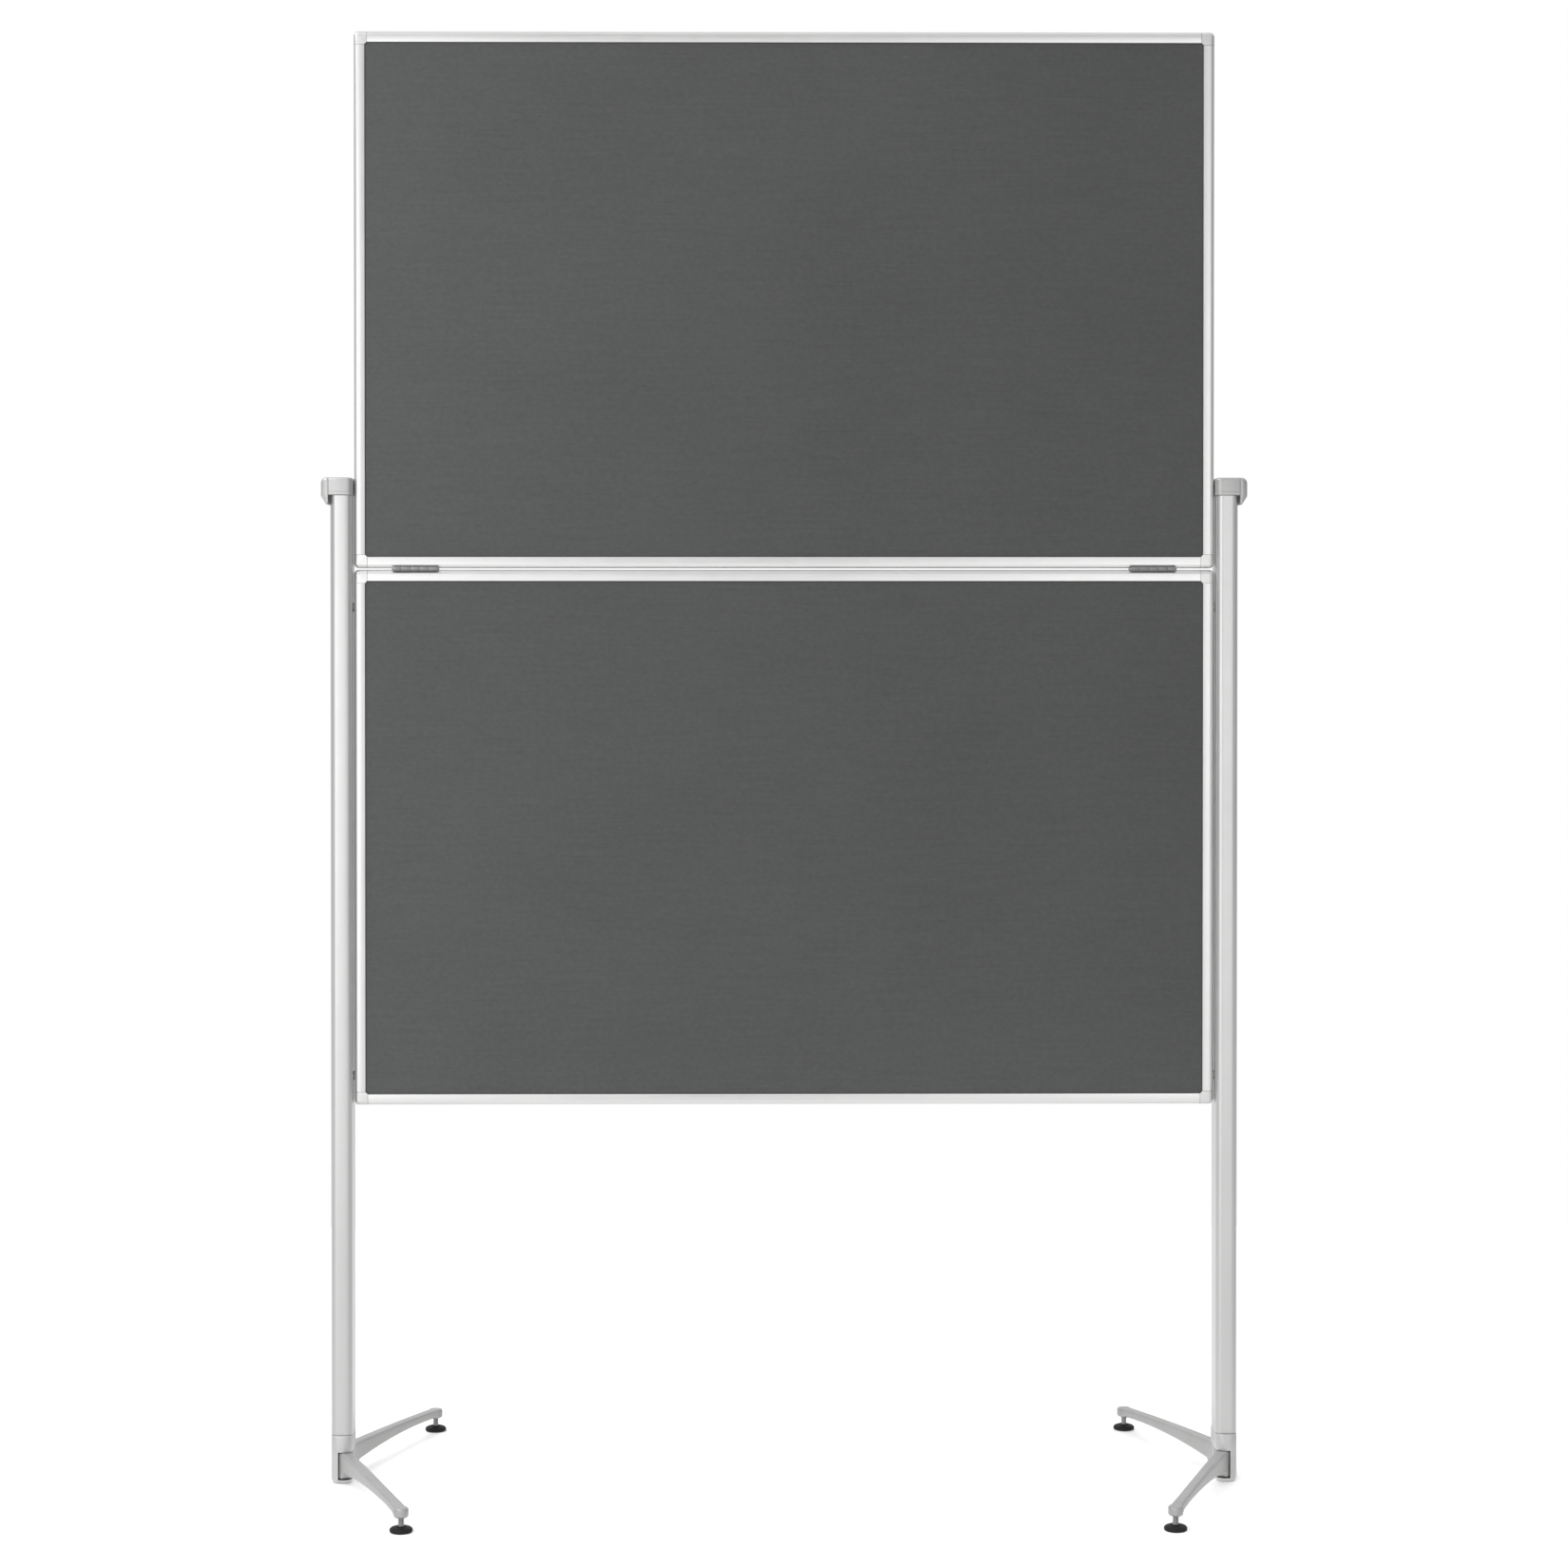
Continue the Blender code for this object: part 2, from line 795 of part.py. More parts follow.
def arm(name, pivot, angle):
    """An arm with its origin on its pivot axis, at the floor, reaching along +x."""
    place = Matrix.Translation(pivot) @ Matrix.Rotation(angle, 4, "Z")
    steps = 6
    xs = [0.006 + (ARM_L - 0.006) * k / steps for k in range(steps + 1)]
    outline = [(x, through(LOW_LINE, x)) for x in xs]
    outline += [(x, through(TOP_LINE, x)) for x in reversed(xs)]
    piece = sheet(
        name,
        [outline],
        ARM_W,
        pivot,
        Matrix.Rotation(angle, 4, "Z") @ frame_of((1, 0, 0), (0, 0, 1)),
        bevel=0.003,
        fine=0,
    )
    tip = place @ Vector((ARM_L, 0, 0))
    base = place @ Vector((0, 0, 0))
    join(
        piece,
        rod(
            f"{name}_knuckle",
            ARM_R,
            base + Vector((0, 0, ARM_Z0)),
            base + Vector((0, 0, ARM_Z1)),
            "Z",
            24,
            0.001,
        ),
        rod(
            f"{name}_boss",
            BOSS_R,
            tip + Vector((0, 0, BOSS_Z0)),
            tip + Vector((0, 0, BOSS_Z1)),
            "Z",
            24,
            0.0016,
        ),
    )
    cut(
        piece,
        rod(
            f"{name}_bore",
            PIVOT_R + CLEAR,
            base + Vector((0, 0, -0.01)),
            base + Vector((0, 0, 0.08)),
            "Z",
            18,
        ),
        rod(
            f"{name}_thread",
            STEM_R + CLEAR,
            tip + Vector((0, 0, 0.005)),
            tip + Vector((0, 0, 0.0305)),
            "Z",
            18,
        ),
    )
    paint(smooth(piece), "casting")
    return tip


def pad(name, at):
    """A turned foot with a socket for its stem."""
    profile = [
        (0, 0.0042),
        (STEM_R + CLEAR, 0.0042),
        (STEM_R + CLEAR, PAD_H),
        (0.0058, PAD_H),
        (0.0066, 0.0079),
        (0.0098, 0.0073),
        (0.0127, 0.0064),
        (0.0146, 0.0051),
        (PAD_R, 0.0037),
        (PAD_R, 0.0018),
        (0.0147, 0.0006),
        (0.0135, 0),
        (0, 0),
    ]
    bm = bmesh.new()
    verts = [bm.verts.new((r, 0, z)) for r, z in profile]
    for a, b in zip(verts, verts[1:]):
        bm.edges.new((a, b))
    mesh = bpy.data.meshes.new(name)
    bm.to_mesh(mesh)
    bm.free()
    obj = add(name, mesh, at)
    screw = obj.modifiers.new("turn", "SCREW")
    screw.axis = "Z"
    screw.steps = 20
    screw.render_steps = 20
    screw.use_merge_vertices = True
    screw.merge_threshold = 0.00001
    screw.use_smooth_shade = True
    paint(obj, "rubber")


for side, sign in (("left", -1), ("right", 1)):
    for end, way in (("front", -1), ("rear", 1)):
        pivot = Vector((sign * PIVOT_X, way * PIVOT_Y, 0))
        angle = math.atan2(
            way * (FOOT_Y - PIVOT_Y), sign * (FOOT_X - PIVOT_X)
        )
        tip = arm(f"{end}_{side}_arm", pivot, angle)
        stem = rod(
            f"{end}_{side}_levelling_stem",
            STEM_R,
            tip + Vector((0, 0, STEM_Z0)),
            tip + Vector((0, 0, STEM_Z1)),
            "Z",
            16,
            0.0006,
        )
        paint(stem, "steel")
        pad(f"{end}_{side}_foot_pad", tip)
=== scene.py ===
import json
import math

import bmesh
import bpy
import numpy as np
from mathutils import Matrix, Vector

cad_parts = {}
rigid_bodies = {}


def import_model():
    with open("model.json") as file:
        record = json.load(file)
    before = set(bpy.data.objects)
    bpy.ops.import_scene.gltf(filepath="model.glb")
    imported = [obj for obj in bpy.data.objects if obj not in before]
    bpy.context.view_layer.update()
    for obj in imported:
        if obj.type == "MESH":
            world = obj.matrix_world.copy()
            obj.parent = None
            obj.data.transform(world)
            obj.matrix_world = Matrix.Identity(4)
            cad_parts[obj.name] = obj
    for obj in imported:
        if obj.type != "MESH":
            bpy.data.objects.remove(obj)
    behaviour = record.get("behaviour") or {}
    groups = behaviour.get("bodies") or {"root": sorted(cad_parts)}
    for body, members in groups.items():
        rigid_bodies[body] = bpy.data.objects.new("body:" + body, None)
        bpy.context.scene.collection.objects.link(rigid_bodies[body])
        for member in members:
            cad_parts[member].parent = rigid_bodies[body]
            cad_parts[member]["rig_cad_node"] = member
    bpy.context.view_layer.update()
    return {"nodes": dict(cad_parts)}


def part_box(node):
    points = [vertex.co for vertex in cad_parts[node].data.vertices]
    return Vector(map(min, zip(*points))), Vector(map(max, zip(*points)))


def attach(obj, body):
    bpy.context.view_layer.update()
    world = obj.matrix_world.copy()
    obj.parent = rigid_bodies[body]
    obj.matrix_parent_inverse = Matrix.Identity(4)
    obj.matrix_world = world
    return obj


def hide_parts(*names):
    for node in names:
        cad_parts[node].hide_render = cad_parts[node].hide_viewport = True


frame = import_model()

NODES = frame["nodes"]
for old in list(bpy.data.objects):
    if old.name in ("Cube", "Light", "Camera") and "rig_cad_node" not in old:
        bpy.data.objects.remove(old, do_unlink=True)


# =============================================================== materials
def inset_curve(value, low, high):
    return low + (high - low) * value


class Nodes:
    """Small helper that adds shader nodes and links them."""

    def __init__(self, name):
        self.mat = bpy.data.materials.new(name)
        self.mat.use_nodes = True
        self.tree = self.mat.node_tree
        self.shader = self.tree.nodes["Principled BSDF"]
        self.coord = self.tree.nodes.new("ShaderNodeTexCoord")

    def add(self, kind, **values):
        node = self.tree.nodes.new(kind)
        for key, value in values.items():
            setattr(node, key, value)
        return node

    def link(self, a, b):
        self.tree.links.new(a, b)

    def space(self, scale):
        node = self.add("ShaderNodeMapping")
        node.inputs["Scale"].default_value = scale
        self.link(self.coord.outputs["Object"], node.inputs["Vector"])
        return node.outputs["Vector"]

    def noise(self, scale, detail=4.0, rough=0.55, distortion=0.0):
        """Noise whose scale is in cells per metre along each axis."""
        node = self.add("ShaderNodeTexNoise")
        node.inputs["Scale"].default_value = 1.0
        node.inputs["Detail"].default_value = detail
        node.inputs["Roughness"].default_value = rough
        node.inputs["Distortion"].default_value = distortion
        self.link(self.space(scale), node.inputs["Vector"])
        return node.outputs["Fac"]

    def spread(self, value, low, high, start=0.3, stop=0.7):
        node = self.add("ShaderNodeMapRange")
        node.inputs["From Min"].default_value = start
        node.inputs["From Max"].default_value = stop
        node.inputs["To Min"].default_value = low
        node.inputs["To Max"].default_value = high
        self.link(value, node.inputs["Value"])
        return node.outputs["Result"]

    def math(self, kind, a, b):
        node = self.add("ShaderNodeMath", operation=kind)
        for socket, value in zip(node.inputs, (a, b)):
            if isinstance(value, (int, float)):
                socket.default_value = value
            else:
                self.link(value, socket)
        return node.outputs["Value"]

    def tint(self, value, low, high):
        """A colour between two, by a value from 0 to 1."""
        node = self.add("ShaderNodeMix", data_type="RGBA")
        node.inputs["A"].default_value = (*low, 1)
        node.inputs["B"].default_value = (*high, 1)
        self.link(value, node.inputs["Factor"])
        return node.outputs["Result"]

    def bump(self, height, strength, distance, before=None):
        node = self.add("ShaderNodeBump")
        node.inputs["Strength"].default_value = strength
        node.inputs["Distance"].default_value = distance
        self.link(height, node.inputs["Height"])
        if before is not None:
            self.link(before, node.inputs["Normal"])
        return node.outputs["Normal"]

    def put(self, name, value):
        socket = self.shader.inputs[name]
        if isinstance(value, (int, float)):
            socket.default_value = value
        else:
            self.link(value, socket)


def shade(colour, factor):
    return tuple(min(1.0, c * factor) for c in colour)


def extruded_metal(name, colour, rough, along, metal=1.0):
    """Satin anodised extrusion: fine lines along one axis and a slight cloudiness."""
    n = Nodes(name)
    across = [1400.0, 1400.0, 1400.0]
    across["XYZ".index(along)] = 6.0
    lines = n.noise(across, 3.0, 0.6)
    grain = n.noise((2600.0, 2600.0, 2600.0), 2.0, 0.5)
    cloud = n.noise((5.0, 5.0, 5.0), 3.0, 0.5)
    wear = n.noise((38.0, 38.0, 38.0), 5.0, 0.65)
    mixed = n.math("ADD", n.math("MULTIPLY", lines, 0.45), n.math("MULTIPLY", cloud, 0.55))
    n.put("Base Color", n.tint(n.spread(mixed, 0, 1), shade(colour, 0.955), shade(colour, 1.03)))
    roughness = n.math(
        "ADD",
        n.spread(lines, rough - 0.035, rough + 0.035),
        n.spread(wear, -0.02, 0.03),
    )
    n.put("Roughness", roughness)
    n.put("Metallic", metal)
    first = n.bump(lines, 0.10, 0.00006)
    n.put("Normal", n.bump(grain, 0.06, 0.00004, first))
    return n.mat


def cast_metal(name, colour, rough, metal, peel=0.16):
    """Silver-painted casting: orange peel, slight mottling, duller in patches."""
    n = Nodes(name)
    skin = n.noise((620.0, 620.0, 620.0), 3.0, 0.5)
    fleck = n.noise((3800.0, 3800.0, 3800.0), 1.0, 0.5)
    patch = n.noise((34.0, 34.0, 34.0), 4.0, 0.6)
    value = n.math("ADD", n.math("MULTIPLY", fleck, 0.4), n.math("MULTIPLY", patch, 0.6))
    n.put("Base Color", n.tint(n.spread(value, 0, 1), shade(colour, 0.90), shade(colour, 1.08)))
    n.put("Roughness", n.math("ADD", n.spread(patch, rough - 0.04, rough + 0.05), n.spread(fleck, -0.03, 0.03)))
    n.put("Metallic", metal)
    n.put("Normal", n.bump(skin, peel, 0.00018))
    return n.mat


def plated_steel(name, colour, rough):
    n = Nodes(name)
    turn = n.noise((900.0, 900.0, 2600.0), 3.0, 0.6)
    cloud = n.noise((70.0, 70.0, 70.0), 3.0, 0.6)
    n.put("Base Color", n.tint(n.spread(cloud, 0, 1), shade(colour, 0.9), shade(colour, 1.06)))
    n.put("Roughness", n.spread(turn, rough - 0.06, rough + 0.08))
    n.put("Metallic", 1.0)
    n.put("Normal", n.bump(turn, 0.10, 0.00008))
    return n.mat


def moulded(name, colour, rough, grain=900.0, depth=0.00012, strength=0.25):
    n = Nodes(name)
    fine = n.noise((grain, grain, grain), 4.0, 0.6)
    dust = n.noise((60.0, 60.0, 60.0), 5.0, 0.65)
    n.put("Base Color", n.tint(n.spread(dust, 0, 1), shade(colour, 0.85), shade(colour, 1.30)))
    n.put("Roughness", n.math("ADD", n.spread(fine, rough - 0.05, rough + 0.05), n.spread(dust, -0.03, 0.06)))
    n.put("Normal", n.bump(fine, strength, depth))
    return n.mat


def felt(name, colour):
    """Needled felt: matted fibres, a faint level streak, clumps and soft sheen."""
    n = Nodes(name)
    fibre = n.noise((1150.0, 1150.0, 1150.0), 5.0, 0.7, 1.4)
    hair = n.noise((420.0, 420.0, 2400.0), 4.0, 0.65, 0.8)
    streak = n.noise((9.0, 9.0, 420.0), 3.0, 0.6)
    clump = n.noise((150.0, 150.0, 190.0), 4.0, 0.6)
    field = n.noise((3.2, 3.2, 4.5), 3.0, 0.55)
    mix = n.math(
        "ADD",
        n.math("ADD", n.math("MULTIPLY", fibre, 0.34), n.math("MULTIPLY", hair, 0.24)),
        n.math(
            "ADD",
            n.math("ADD", n.math("MULTIPLY", streak, 0.14), n.math("MULTIPLY", clump, 0.18)),
            n.math("MULTIPLY", field, 0.10),
        ),
    )
    n.put("Base Color", n.tint(n.spread(mix, 0, 1, 0.36, 0.64), shade(colour, 0.72), shade(colour, 1.30)))
    n.put("Roughness", n.spread(fibre, 0.88, 1.0))
    n.put("Sheen Weight", 0.18)
    n.put("Sheen Roughness", 0.55)
    n.put("Specular IOR Level", 0.25)
    first = n.bump(n.math("ADD", fibre, hair), 0.55, 0.00045)
    n.put("Normal", n.bump(clump, 0.25, 0.0006, first))
    return n.mat


def fibreboard(name, colour):
    n = Nodes(name)
    fibre = n.noise((500.0, 90.0, 500.0), 5.0, 0.7, 0.6)
    n.put("Base Color", n.tint(n.spread(fibre, 0, 1), shade(colour, 0.75), shade(colour, 1.15)))
    n.put("Roughness", n.spread(fibre, 0.82, 0.95))
    n.put("Normal", n.bump(fibre, 0.3, 0.0003))
    return n.mat


FRAME_C = (0.86, 0.86, 0.855)
POST_C = (0.72, 0.72, 0.716)
M = {
    "frame_x": extruded_metal("frame_extrusion_level", FRAME_C, 0.33, "X"),
    "frame_z": extruded_metal("frame_extrusion_upright", FRAME_C, 0.33, "Z"),
    "post": extruded_metal("post_extrusion", POST_C, 0.36, "Z"),
    "corner": cast_metal("corner_moulding", (0.81, 0.81, 0.805), 0.36, 0.95, 0.08),
    "head": cast_metal("head_moulding", (0.54, 0.54, 0.537), 0.40, 0.7, 0.10),
    "arm": cast_metal("arm_casting", (0.46, 0.46, 0.457), 0.42, 0.75, 0.20),
    "hub": cast_metal("hub_casting", (0.62, 0.62, 0.617), 0.42, 0.75, 0.20),
    "steel": plated_steel("plated_steel", (0.55, 0.55, 0.55), 0.30),
    "hinge": cast_metal("hinge_coating", (0.27, 0.27, 0.276), 0.42, 0.5, 0.10),
    "felt": felt("grey_felt", (0.080, 0.0832, 0.0812)),
    "core": fibreboard("fibreboard", (0.10, 0.092, 0.082)),
    "rubber": moulded("foot_rubber", (0.0085, 0.0085, 0.009), 0.55),
    "bush": moulded("nylon", (0.72, 0.72, 0.70), 0.45, 1200.0, 0.00005, 0.15),
}


M["rubber"].node_tree.nodes["Principled BSDF"].inputs["Specular IOR Level"].default_value = 0.3


# ================================================================ geometry
def finish_mesh(name, bm, mat, sharp=35):
    bmesh.ops.remove_doubles(bm, verts=bm.verts, dist=1e-7)
    bmesh.ops.recalc_face_normals(bm, faces=bm.faces)
    mesh = bpy.data.meshes.new(name)
    bm.to_mesh(mesh)
    bm.free()
    mesh.shade_smooth()
    mesh.set_sharp_from_angle(angle=math.radians(sharp))
    mesh.materials.append(mat)
    obj = bpy.data.objects.new(name, mesh)
    bpy.context.scene.collection.objects.link(obj)
    return obj


def place(obj, body, slot, *stands_for):
    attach(obj, body)
    if stands_for:
        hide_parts(*stands_for)
    return obj


def rounded(points, radii, steps=8):
    """The polygon through these points, each corner turned to an arc."""
    out = []
    count = len(points)
    for i, (point, radius) in enumerate(zip(points, radii)):
        here = np.array(point, float)
        if not radius:
            out.append(here)
            continue
        before = np.array(points[i - 1], float) - here
        after = np.array(points[(i + 1) % count], float) - here
        before /= np.linalg.norm(before)
        after /= np.linalg.norm(after)
        half = math.acos(max(-1, min(1, float(before @ after)))) / 2
        reach = radius / math.tan(half)
        middle = (before + after) / np.linalg.norm(before + after)
        centre = here + middle * radius / math.sin(half)
        a = here + before * reach - centre
        b = here + after * reach - centre
        start = math.atan2(a[1], a[0])
        turn = math.atan2(b[1], b[0]) - start
        turn = (turn + math.pi) % (2 * math.pi) - math.pi
        n = steps if radius > 0.001 else 3
        for k in range(n + 1):
            angle = start + turn * k / n
            out.append(centre + radius * np.array([math.cos(angle), math.sin(angle)]))
    return out


def rounded_box(half_x, half_y, radius, steps=8):
    corners = [(-half_x, -half_y), (half_x, -half_y), (half_x, half_y), (-half_x, half_y)]
    return rounded(corners, [radius] * 4, steps)


def tube(bm, loops, cap_start=True, cap_end=True):
    """Joins loops of the same length with quads, and closes the ends."""
    rings = [[bm.verts.new(tuple(p)) for p in loop] for loop in loops]
    count = len(rings[0])
    for low, high in zip(rings, rings[1:]):
        for i in range(count):
            j = (i + 1) % count
            bm.faces.new((low[i], low[j], high[j], high[i]))
    if cap_start:
        bm.faces.new(rings[0][::-1])
    if cap_end:
        bm.faces.new(rings[-1])
    return rings


def box_of(*names):
    lows, highs = zip(*(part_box(n) for n in names))
    return (
        Vector([min(v[i] for v in lows) for i in range(3)]),
        Vector([max(v[i] for v in highs) for i in range(3)]),
    )


# ------------------------------------------------------------------- rails
EDGE_R = 0.006


def rail_profile(face, depth):
    half = depth / 2
    lip, wall = 0.0025, 0.004
    points = [
        (0, -half), (face, -half), (face, -half + lip), (wall, -half + lip),
        (wall, half - lip), (face, half - lip), (face, half), (0, half),
    ]
    radii = [EDGE_R, 0.0006, 0.0006, 0.0004, 0.0004, 0.0006, 0.0006, EDGE_R]
    return rounded(points, radii, 9)


def rail(name, body, side):
    low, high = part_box(name)
    mid = (low + high) / 2
    face = (high.z - low.z) if side in ("top", "bottom") else (high.x - low.x)
    profile = rail_profile(face, high.y - low.y)
    spots = {
        "top": lambda u, v, t: (t, v, high.z - u),
        "bottom": lambda u, v, t: (t, v, low.z + u),
        "left": lambda u, v, t: (low.x + u, v, t),
        "right": lambda u, v, t: (high.x - u, v, t),
    }[side]
    a, b = (low.x, high.x) if side in ("top", "bottom") else (low.z, high.z)
    cuts = [a, a + 0.0002, a + 0.004] + list(np.linspace(a, b, 9)[1:-1]) + [b - 0.004, b - 0.0002, b]
    loops = []
    for t in cuts:
        pinch = 0.00015 if t in (a, b) else 0.0  # the saw cut is lightly deburred
        loop = []
        for u, v in profile:
            uu = u + (pinch if u < face / 2 else -pinch)
            vv = v - math.copysign(pinch, v)
            loop.append(spots(uu, vv, t))
        loops.append(loop)
    bm = bmesh.new()
    tube(bm, loops)
    obj = finish_mesh(f"{name}_bar", bm, M["frame_x" if side in ("top", "bottom") else "frame_z"], 28)
    place(obj, body, "frame_aluminium", name)
    return obj


# ----------------------------------------------------------------- corners
def corner(name, body, right, top):
    """A corner piece: an L with a rounded outer corner and a filleted inner one."""
    low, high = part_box(name)
    depth = 0.026
    face, arm, fillet, outer = 0.0155, 0.0185, 0.005, 0.0065
    sx, sz = (-1 if right else 1), (-1 if top else 1)
    ox, oz = (high.x if right else low.x), (high.z if top else low.z)
    outline = []
    steps = 8
    for k in range(steps + 1):
        a = math.pi + math.pi / 2 * k / steps
        outline.append((outer + outer * math.cos(a), outer + outer * math.sin(a), True))
    outline.append((arm, 0.0, True))
    centre = face + fillet
    start = math.asin((centre - arm) / fillet)
    for k in range(steps + 1):
        a = -math.pi / 2 - start - (math.pi / 2 - 2 * start) * k / steps
        outline.append((centre + fillet * math.cos(a), centre + fillet * math.sin(a), False))
    outline.append((0.0, arm, True))

    def push(x, y, d):
        """Moves an outer point in by d, along the outline's normal."""
        if x < outer and y < outer:
            dx, dy = x - outer, y - outer
            r = math.hypot(dx, dy)
            return (outer + dx * (outer - d) / r, outer + dy * (outer - d) / r)
        return (x + d, y) if x < y else (x, y + d)

    bm = bmesh.new()
    loops = []
    for side in (-1, 1):
        ring = []
        for k in range(10):
            a = math.pi / 2 * k / 9
            d = EDGE_R * (1 - math.sin(a)) if side < 0 else EDGE_R * (1 - math.cos(a))
            v = -depth / 2 + EDGE_R * (1 - math.cos(a)) if side < 0 else depth / 2 - EDGE_R * (1 - math.sin(a))
            loop = []
            for x, y, is_outer in outline:
                px, py = push(x, y, d) if is_outer else (x, y)
                loop.append((ox + sx * px, v if is_outer else side * depth / 2 * (1 - 0.0), oz + sz * py))
            ring.append(loop)
        loops.append(ring)
    # Inner edge points keep their own height, so the side walls are flat there
    inner = [i for i, p in enumerate(outline) if not p[2]]
    all_loops = loops[0] + loops[1]
    total = len(all_loops)
    for k, loop in enumerate(all_loops):
        t = k / (total - 1)
        for i in inner:
            x, _, z = loop[i]
            loop[i] = (x, -depth / 2 + depth * t, z)
    tube(bm, all_loops)
    obj = finish_mesh(f"{name}_piece", bm, M["corner"], 30)
    place(obj, body, "corner_piece", name)
    return obj


# -------------------------------------------------------------------- felt
def felt_sheet(name, body, front):
    """Felt stretched over the board: flat, its cut edge rolling in under the frame's lip."""
    low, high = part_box(name)
    flat = (high.x - low.x, high.z - low.z)
    thick = high.y - low.y
    out = -1 if front else 1
    back = high.y if front else low.y
    corner_r = 0.005
    half_x, half_z = flat[0] / 2, flat[1] / 2
    mid = (low + high) / 2
    bm = bmesh.new()
    rows = []

    def loop(inset, rise):
        r = max(corner_r - inset, 0.0006)
        points = rounded_box(half_x - inset, half_z - inset, r, 6)
        return [(mid.x + x, back + out * rise, mid.z + z) for x, z in points]

    rows.append(loop(0.0, 0.0))
    rows.append(loop(0.0, thick * 0.45))
    rows.append(loop(0.0002, thick * 0.72))
    rows.append(loop(0.0006, thick * 0.90))
    rows.append(loop(0.0013, thick * 0.97))
    rings = tube(bm, rows, cap_start=True, cap_end=False)
    # The field: a grid, fuller by a hair away from the edge
    field_x = np.linspace(-half_x + 0.004, half_x - 0.004, 97)
    field_z = np.linspace(-half_z + 0.004, half_z - 0.004, 61)
    rng = np.random.default_rng(7 if front else 11)
    wave = rng.normal(size=(6, 4))

    def height(x, z):
        near = min(half_x - abs(x), half_z - abs(z))
        roll = 1 - math.exp(-near / 0.004)
        ripple = sum(
            math.sin(w[0] * 9 * x + w[1] * 9 * z + w[2] * 6) * 0.00004 for w in wave
        ) / 6
        return thick * (0.96 + 0.04 * roll) + ripple * roll - 0.00004

    grid = [
        [bm.verts.new((mid.x + x, back + out * height(x, z), mid.z + z)) for x in field_x]
        for z in field_z
    ]
    for a, b in zip(grid, grid[1:]):
        for i in range(len(a) - 1):
            bm.faces.new((a[i], a[i + 1], b[i + 1], b[i]))
    # Join the grid's border to the last ring
    border = (
        grid[0][:-1]
        + [row[-1] for row in grid[:-1]]
        + grid[-1][:0:-1]
        + [row[0] for row in grid[:0:-1]]
    )
    edges = []
    for i, v in enumerate(border):
        w = border[(i + 1) % len(border)]
        edges.append(bm.edges.get((v, w)))
    ring = rings[-1]
    for i, v in enumerate(ring):
        w = ring[(i + 1) % len(ring)]
        edges.append(bm.edges.get((v, w)))
    bmesh.ops.bridge_loops(bm, edges=edges)
    obj = finish_mesh(f"{name}_cloth", bm, M["felt"], 50)
    place(obj, body, "felt", name)
    return obj


for level, body in (("upper", "upper_panel"), ("lower", "stand")):
    for side in ("top", "bottom", "left", "right"):
        rail(f"{level}_rail_{side}", body, side)
    for top in (True, False):
        for right in (True, False):
            spot = f"{'top' if top else 'bottom'}_{'right' if right else 'left'}"
            corner(f"{level}_corner_{spot}", body, right, top)
    for front in (True, False):
        felt_sheet(
            f"{level}_felt_{'front' if front else 'back'}", body, front
        )
    NODES[f"{level}_core_board"].data.materials.clear()
    NODES[f"{level}_core_board"].data.materials.append(M["core"])


# ------------------------------------------------------------------- posts
for side in ("left", "right"):
    name = f"post_{side}"
    low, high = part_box(name)
    mid = (low + high) / 2
    hx, hy = (high.x - low.x) / 2, (high.y - low.y) / 2
    r, wall = 0.009, 0.002
    outer = rounded_box(hx, hy, r, 10)
    inner = rounded_box(hx - wall, hy - wall, r - wall, 10)
    heights = [low.z, low.z + 0.0004] + list(np.linspace(low.z, high.z, 9)[1:-1]) + [high.z - 0.0004, high.z]
    loops = []
    for z in heights:
        cut = 0.0003 if z in (low.z, high.z) else 0.0
        loops.append([(mid.x + x * (1 - cut / hx), y * (1 - cut / hy), z) for x, y in outer])
    for z in (high.z, low.z):
        loops.append([(mid.x + x, y, z) for x, y in inner])
    loops.append(loops[0])
    bm = bmesh.new()
    tube(bm, loops, cap_start=False, cap_end=False)
    place(finish_mesh(f"{name}_tube", bm, M["post"], 30), "stand", "post_aluminium", name)


# ------------------------------------------------------------------- heads
def stack(bm, centre, outline_of, levels):
    """Level rings, each an inset outline at a height."""
    loops = []
    for z, inset in levels:
        loops.append([(centre[0] + x, centre[1] + y, z) for x, y in outline_of(inset)])
    return tube(bm, loops)


def quarter(z_edge, radius, down, steps=6):
    """Heights and insets along a rounded edge, from the side to the flat face."""
    out = []
    for k in range(steps + 1):
        a = math.pi / 2 * k / steps
        inset = radius * (1 - math.cos(a))
        z = z_edge + (radius * (1 - math.sin(a)) if down else -radius * (1 - math.sin(a)))
        out.append((z, inset))
    return out


def apply_modifiers(obj):
    bpy.context.view_layer.update()
    graph = bpy.context.evaluated_depsgraph_get()
    mesh = bpy.data.meshes.new_from_object(obj.evaluated_get(graph))
    obj.modifiers.clear()
    obj.data = mesh


def carve(obj, cutters):
    """Cuts each cutter out of the object, one after the other."""
    for cutter in cutters:
        cut = obj.modifiers.new("cut", "BOOLEAN")
        cut.operation, cut.solver, cut.object = "DIFFERENCE", "EXACT", cutter
    apply_modifiers(obj)
    for cutter in cutters:
        bpy.data.objects.remove(cutter)


